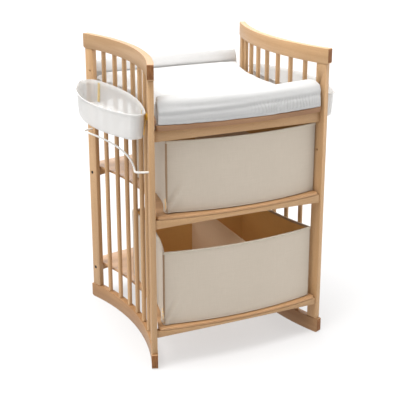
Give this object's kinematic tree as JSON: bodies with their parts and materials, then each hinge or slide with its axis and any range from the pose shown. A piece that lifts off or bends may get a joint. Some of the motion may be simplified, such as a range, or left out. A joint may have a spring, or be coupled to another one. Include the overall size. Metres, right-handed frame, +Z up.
{
  "type": "changing table",
  "caption": "Waisted beech changing table with slatted sides, padded top, shelves holding textile boxes, hanging side bins and a towel rod.",
  "frame": {"origin": "on the floor, under the centre of the bounding box", "axes": "+X to the user's right when facing the front, +Y to the back, +Z up"},
  "size_m": [0.842, 0.7, 0.99],
  "materials": {
    "beech": "clear lacquered beech, satin",
    "beech_board": "lacquered beech veneer, satin",
    "beech_tray": "lacquered beech with a darker bevelled edge",
    "black_steel": "black bolt heads",
    "white_cotton": "white padded cotton cover",
    "cream_canvas": "cream canvas over stiff board",
    "translucent_plastic": "milky translucent plastic",
    "orange_rubber": "yellow-orange rubber",
    "white_lacquer": "white lacquered steel rod"
  },
  "bodies": {
    "frame": {"left_bottom_rail": "beech", "left_top_rail": "beech", "left_front_post": "beech", "left_back_post": "beech", "left_spindle_1": "beech", "left_spindle_2": "beech", "left_spindle_3": "beech", "left_spindle_4": "beech", "left_spindle_5": "beech", "left_spindle_6": "beech", "left_spindle_7": "beech", "right_bottom_rail": "beech", "right_top_rail": "beech", "right_front_post": "beech", "right_back_post": "beech", "right_spindle_1": "beech", "right_spindle_2": "beech", "right_spindle_3": "beech", "right_spindle_4": "beech", "right_spindle_5": "beech", "right_spindle_6": "beech", "right_spindle_7": "beech", "lower_shelf_board": "beech_board", "middle_shelf_board": "beech_board", "tray_board": "beech_tray", "lower_shelf_front_apron": "beech", "lower_shelf_back_apron": "beech", "middle_shelf_front_apron": "beech", "middle_shelf_back_apron": "beech", "tray_front_apron": "beech", "tray_back_apron": "beech", "lower_shelf_left_front_bolt": "black_steel", "lower_shelf_left_back_bolt": "black_steel", "lower_shelf_right_front_bolt": "black_steel", "lower_shelf_right_back_bolt": "black_steel", "middle_shelf_left_front_bolt": "black_steel", "middle_shelf_left_back_bolt": "black_steel", "middle_shelf_right_front_bolt": "black_steel", "middle_shelf_right_back_bolt": "black_steel", "tray_left_front_bolt": "black_steel", "tray_left_back_bolt": "black_steel", "tray_right_front_bolt": "black_steel", "tray_right_back_bolt": "black_steel", "towel_rod": "white_lacquer"},
    "pad": {"mattress": "white_cotton"},
    "upper_basket": {"upper_box": "cream_canvas", "upper_box_divider": "cream_canvas"},
    "lower_basket": {"lower_box": "cream_canvas", "lower_box_divider": "cream_canvas"},
    "left_holder": {"left_bin": "translucent_plastic", "left_front_strap": "orange_rubber", "left_back_strap": "orange_rubber"},
    "right_holder": {"right_bin": "translucent_plastic", "right_front_strap": "orange_rubber", "right_back_strap": "orange_rubber"}
  },
  "joints": [
    {"name": "pad_lift", "type": "slide", "parent": "frame", "child": "pad", "axis": [0, 0, 1], "range_m": [0, 0.25]},
    {"name": "upper_basket_slide", "type": "slide", "parent": "frame", "child": "upper_basket", "axis": [0, -1, 0], "range_m": [0, 0.3]},
    {"name": "lower_basket_slide", "type": "slide", "parent": "frame", "child": "lower_basket", "axis": [0, -1, 0], "range_m": [0, 0.3]},
    {"name": "left_holder_lift", "type": "slide", "parent": "frame", "child": "left_holder", "axis": [0, 0, 1], "range_m": [0, 0.1]},
    {"name": "right_holder_lift", "type": "slide", "parent": "frame", "child": "right_holder", "axis": [0, 0, 1], "range_m": [0, 0.1]}
  ]
}
